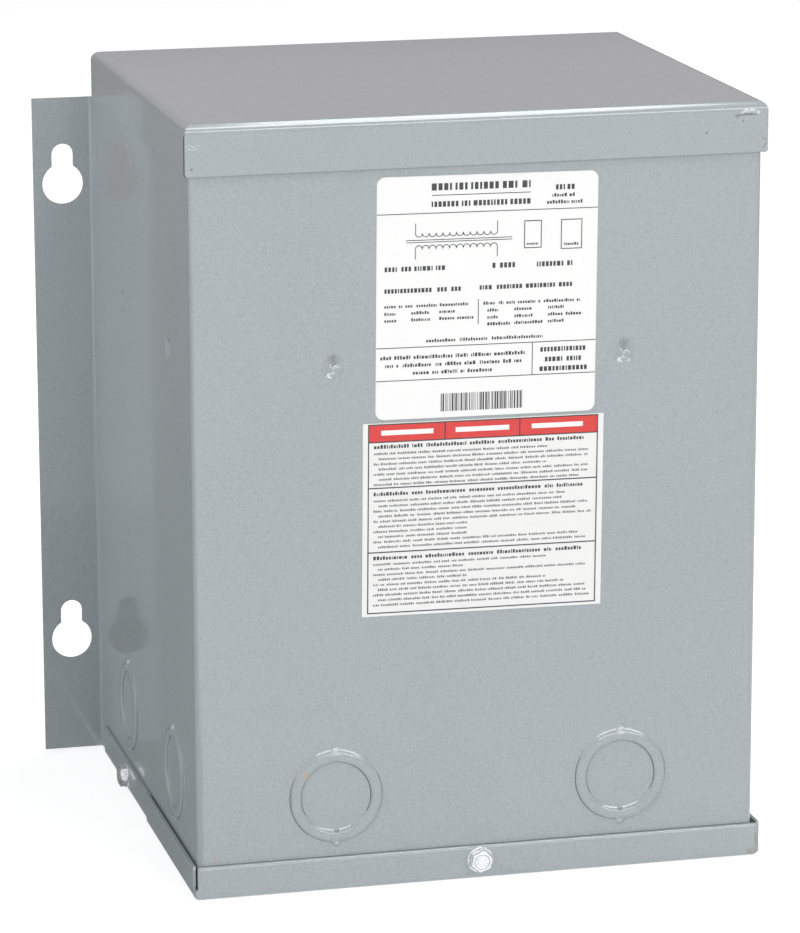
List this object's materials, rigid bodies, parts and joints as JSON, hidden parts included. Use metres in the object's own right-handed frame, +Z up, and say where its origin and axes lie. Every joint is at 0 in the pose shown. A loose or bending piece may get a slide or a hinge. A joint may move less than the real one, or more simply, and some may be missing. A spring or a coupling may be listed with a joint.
{
  "type": "dry-type transformer, wall mounted, potted core and coil in a sheet-steel case",
  "caption": "Gray steel dry-type transformer case with wall flanges, keyholes, knockouts and a screwed bottom cover, for stepping mains voltage up or down.",
  "frame": {"origin": "on the centre line at the level of the bottom cover's underside, half-way between the front screw head and the wall plane", "axes": "+Z up, -Y out of the front wall, +Y towards the wall that the flanges are bolted to, +X to the right seen from the front"},
  "size_m": [0.2596, 0.2038, 0.2883],
  "materials": {
    "case_paint": "semi-gloss",
    "back_paint": "semi-gloss",
    "lid_paint": "semi-gloss",
    "cover_paint": "semi-gloss",
    "knockout_paint": "semi-gloss",
    "potting": "matte",
    "zinc": "bright zinc plate",
    "rating_film": "satin",
    "notice_film": "matte"
  },
  "bodies": {
    "root": {"wrapper": "case_paint", "back_panel": "back_paint", "lid": "lid_paint", "bottom_cover": "cover_paint", "potted_core": "potting", "ring_front_left": "knockout_paint", "ring_front_right": "knockout_paint", "ring_left_front": "knockout_paint", "ring_left_rear": "knockout_paint", "ring_right_front": "knockout_paint", "ring_right_rear": "knockout_paint", "disc_front_left": "knockout_paint", "disc_front_right": "knockout_paint", "disc_left_front": "knockout_paint", "disc_left_rear": "knockout_paint", "disc_right_front": "knockout_paint", "disc_right_rear": "knockout_paint", "screw_front": "zinc", "screw_left": "zinc", "screw_right": "zinc", "rating_label": "rating_film", "notice_label": "notice_film"}
  },
  "joints": []
}
